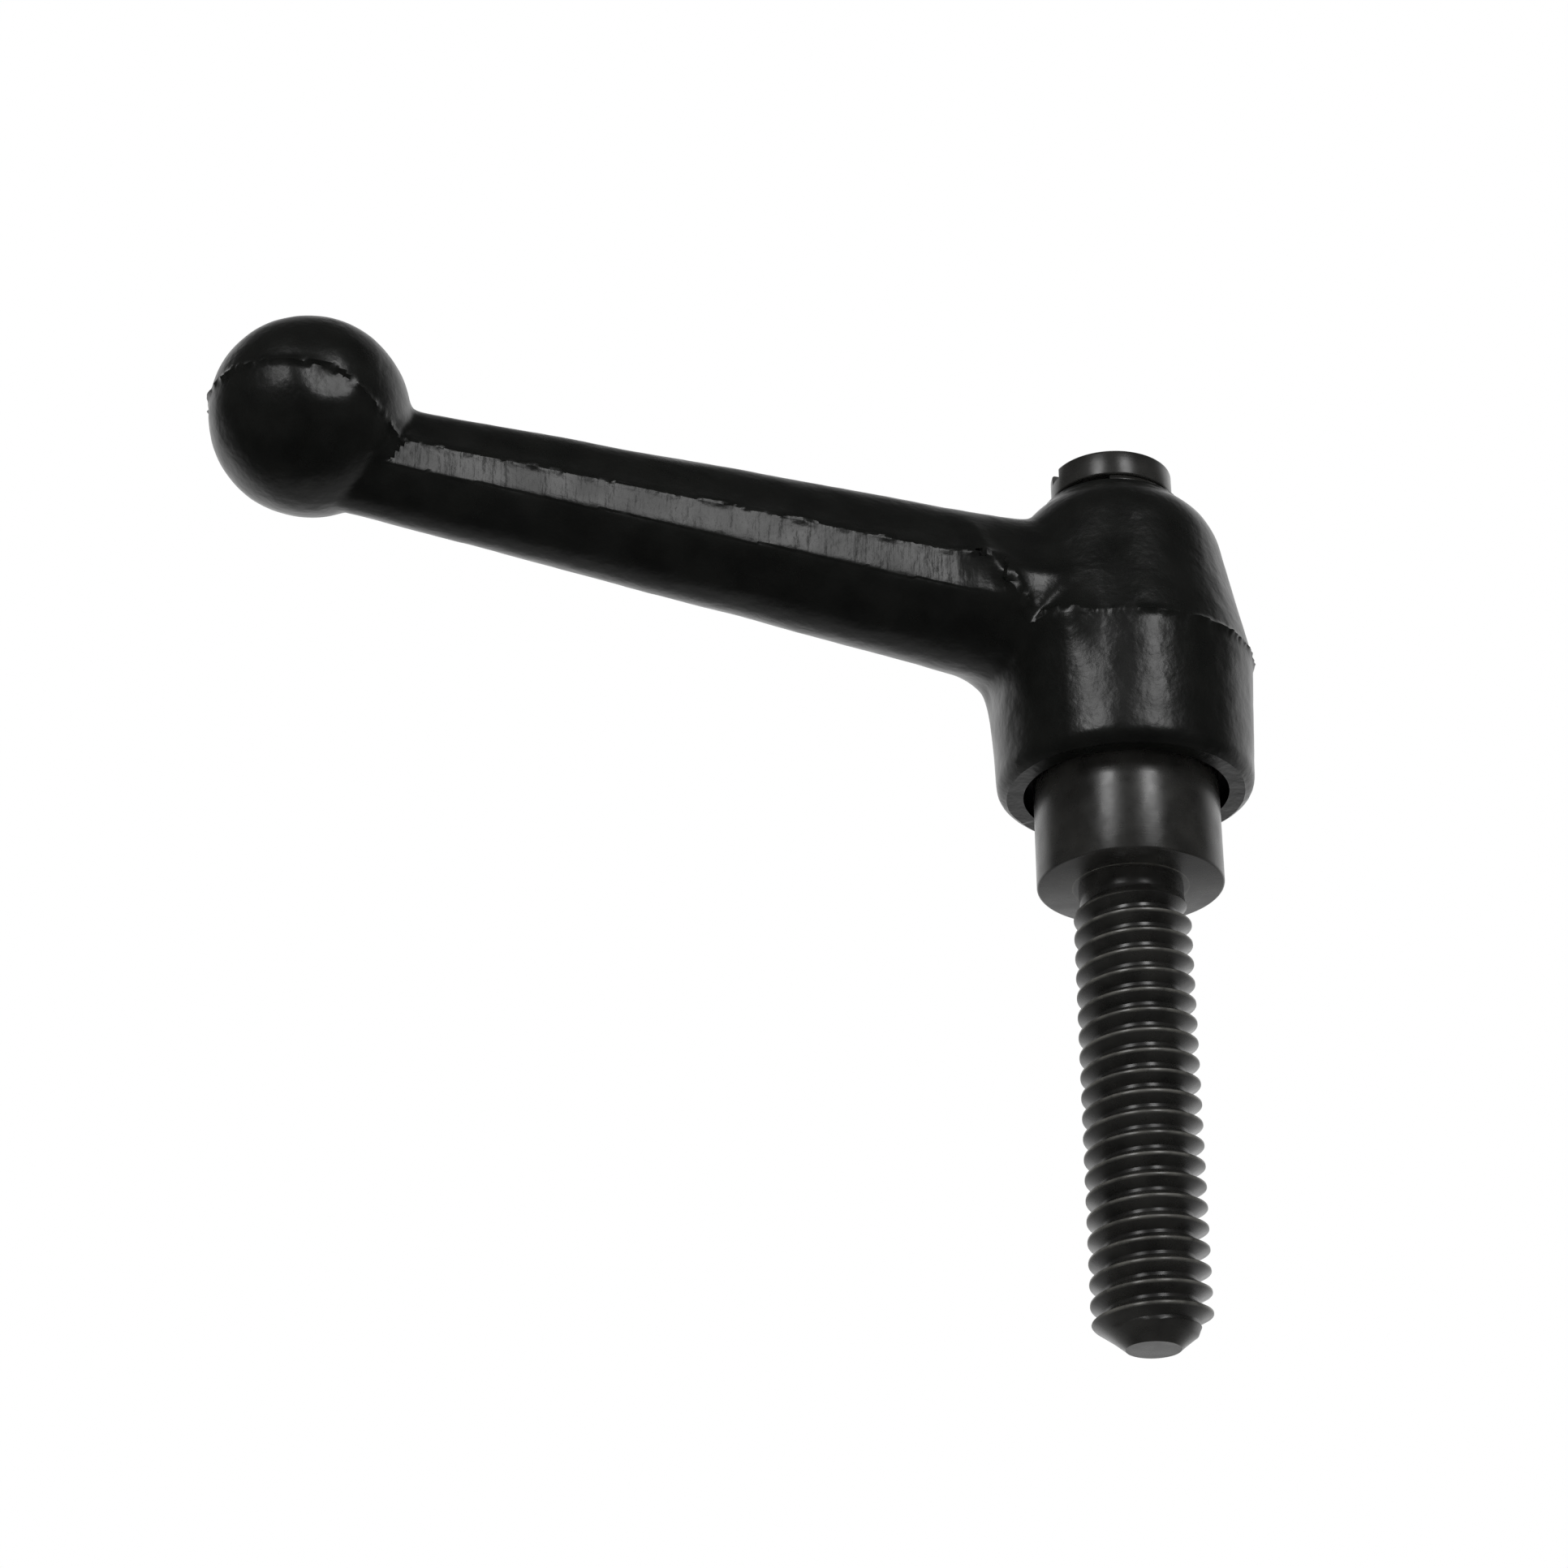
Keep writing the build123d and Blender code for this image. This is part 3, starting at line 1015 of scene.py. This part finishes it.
# the flat's lower edge is eased into the arm
lower_edge = [
    vert
    for vert in lever.verts
    if FLAT_START < vert.co.x < 46 and 1.3 < parting_height(vert.co) - vert.co.z < 4.0
]
eased(lower_edge, 8)
print("filed", sum(vert[filed_layer] > 0 for vert in lever.verts), "points")

# %% [markdown]
# ## The root's crest and the ball's sides
#
# A mould needs draft, so the skin leans away from the parting line on both sides of it. At
# the root that draws a soft crest along the line. The ball's sides were dressed with a file
# too, which left them a little flat just under the line.

# %% Draw the root to a crest and flatten the ball's sides
ROOT_CREST = 0.75
ROOT_CREST_WIDTH = 2.2
BALL_SIDE = 6.0
BALL_PRESSED = 0.5
lever.normal_update()
for vert in lever.verts:
    at = vert.co
    out = hypot(at.x, at.y)
    below = parting_height(at) - at.z
    if at.x > 4 and out < 14.4:
        window = smooth_share(at.x, 4.5, 6.5) * (1 - smooth_share(out, 12.4, 14.4))
        window *= smooth_share(abs(at.y), 1.5, 4.0)
        vert.co += vert.normal * ROOT_CREST * window * exp(-abs(below) / ROOT_CREST_WIDTH)
    if at.x > BALL_X - 4 and below > -0.01 and abs(at.y) > BALL_SIDE:
        excess = abs(at.y) - BALL_SIDE
        pressed = excess * (1 - BALL_PRESSED * smooth_share(excess, 0.0, 0.6))
        vert.co.y = (BALL_SIDE + pressed) * (1 if at.y > 0 else -1)

# %% [markdown]
# ## The cast surface
#
# A casting is never quite even. A slow wave in its surface bends the bright streaks, and the
# flash leaves a thin ragged ridge along the parting line. Both move each point along its own
# normal: the wave by a few hundredths of a millimetre, and the flash by a few tenths at most.

# %% Ripple the skin and raise the flash
WAVE = 0.035
WAVES = ((0.16, 1.6), (0.35, 1.0), (1.1, 0.4))
FLASH = 0.24
FLASH_WIDTH = 0.22
lever.normal_update()
moves = []
for vert in lever.verts:
    at = vert.co
    wave = sum(noise.noise(at * scale) * WAVE * share for scale, share in WAVES)
    off_line = abs(at.z - parting_height(at))
    ragged = 0.5 + 0.8 * noise.noise(at * 0.9 + Vector((7, 3, 1)))
    ragged += 0.7 * noise.noise(at * 2.7 + Vector((1, 9, 4)))
    edge = exp(-((off_line / FLASH_WIDTH) ** 2)) * FLASH * max(ragged, 0.0)
    wave *= 1 - 0.6 * vert[filed_layer]
    edge *= 1 - 0.7 * vert[filed_layer]
    moves.append(vert.normal * (wave + edge))
for vert, move in zip(lever.verts, moves):
    vert.co += move
print("largest move", round(max(move.length for move in moves), 3), "mm")

# %% [markdown]
# ## Machined faces and bores
#
# The hub's two ends are faced off flat, and it is bored from both sides: a wide recess for
# the collar, a bore round the ring of teeth, a hole for the shank and a bore for the spring.
# The lever's own teeth can't be seen from outside, so here that bore is left plain. The skin
# is cut by a plane at each end, and the bored inside is a second turned outline, bridged to
# the two open rims.

# %% Face the ends and bore the hub
RECESS_R = 6.93
RECESS_TOP_Z = 9.0
TOOTHED_R = 5.3
RELIEF_TOP_Z = 13.4
SHANK_HOLE_R = 2.8
SPRING_BORE_R = 4.6
for z, side in ((HUB_TOP_Z, 1), (HUB_BOTTOM_Z, -1)):
    near_hub = [vert for vert in lever.verts if hypot(vert.co.x, vert.co.y) < 12]
    kept = set(near_hub)
    edges = [edge for edge in lever.edges if edge.verts[0] in kept and edge.verts[1] in kept]
    faces = [face for face in lever.faces if all(vert in kept for vert in face.verts)]
    bmesh.ops.bisect_plane(
        lever,
        geom=near_hub + edges + faces,
        dist=0.0001,
        plane_co=(0, 0, z),
        plane_no=(0, 0, side),
        clear_outer=True,
    )
bore_outline = [
    (RECESS_R, HUB_BOTTOM_Z),
    (RECESS_R, RECESS_TOP_Z),
    (TOOTHED_R, RECESS_TOP_Z),
    (TOOTHED_R, RELIEF_TOP_Z),
    (SHANK_HOLE_R, RELIEF_TOP_Z),
    (SHANK_HOLE_R, SPRING_FLOOR_Z),
    (SPRING_BORE_R, SPRING_FLOOR_Z),
    (SPRING_BORE_R, HUB_TOP_Z),
]
turned(lever, bore_outline, 144, closed=False)
bmesh.ops.remove_doubles(
    lever, verts=[vert for vert in lever.verts if hypot(vert.co.x, vert.co.y) < 7.0], dist=0.0005
)
for z in (HUB_BOTTOM_Z, HUB_TOP_Z):
    open_edges = [edge for edge in lever.edges if edge.is_boundary]
    rims = [edge for edge in open_edges if abs(edge.verts[0].co.z - z) < 0.01]
    bmesh.ops.bridge_loops(lever, edges=rims)
bmesh.ops.recalc_face_normals(lever, faces=lever.faces)
print("open edges left:", sum(edge.is_boundary for edge in lever.edges))
finished("lever_casting", lever, "lever", "lever_handle", casting)
